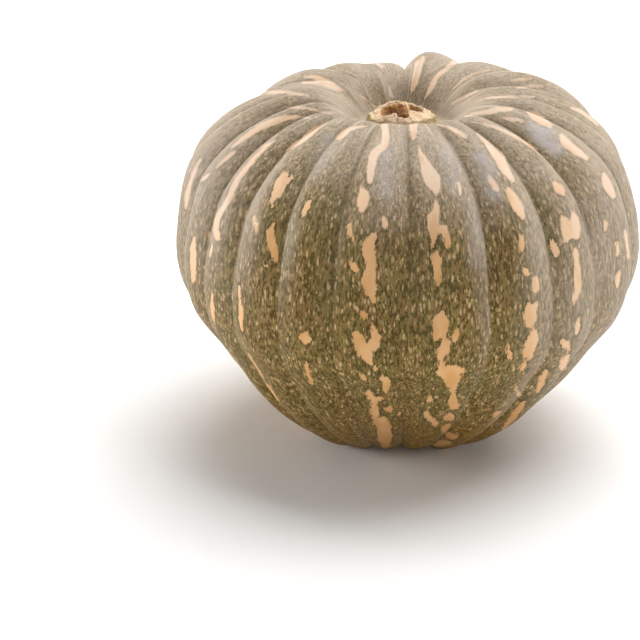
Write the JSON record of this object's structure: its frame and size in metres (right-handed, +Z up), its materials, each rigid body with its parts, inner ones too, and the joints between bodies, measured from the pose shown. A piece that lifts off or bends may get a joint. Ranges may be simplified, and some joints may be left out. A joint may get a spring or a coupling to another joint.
{
  "type": "pumpkin",
  "caption": "Whole squat ribbed pumpkin with mottled grey-green and peach rind, a sunken top and a short corky cut stem.",
  "frame": {"origin": "on the surface it rests on, under the middle of the pumpkin's outline", "axes": "+Z up along the axis of growth, -Y toward the front that the picture shows, +X to its right"},
  "size_m": [0.2431, 0.2426, 0.1882],
  "materials": {
    "rind": "waxy mottled rind",
    "cork": "dry cork"
  },
  "bodies": {
    "root": {"fruit": "rind", "stem": "cork"}
  },
  "joints": []
}
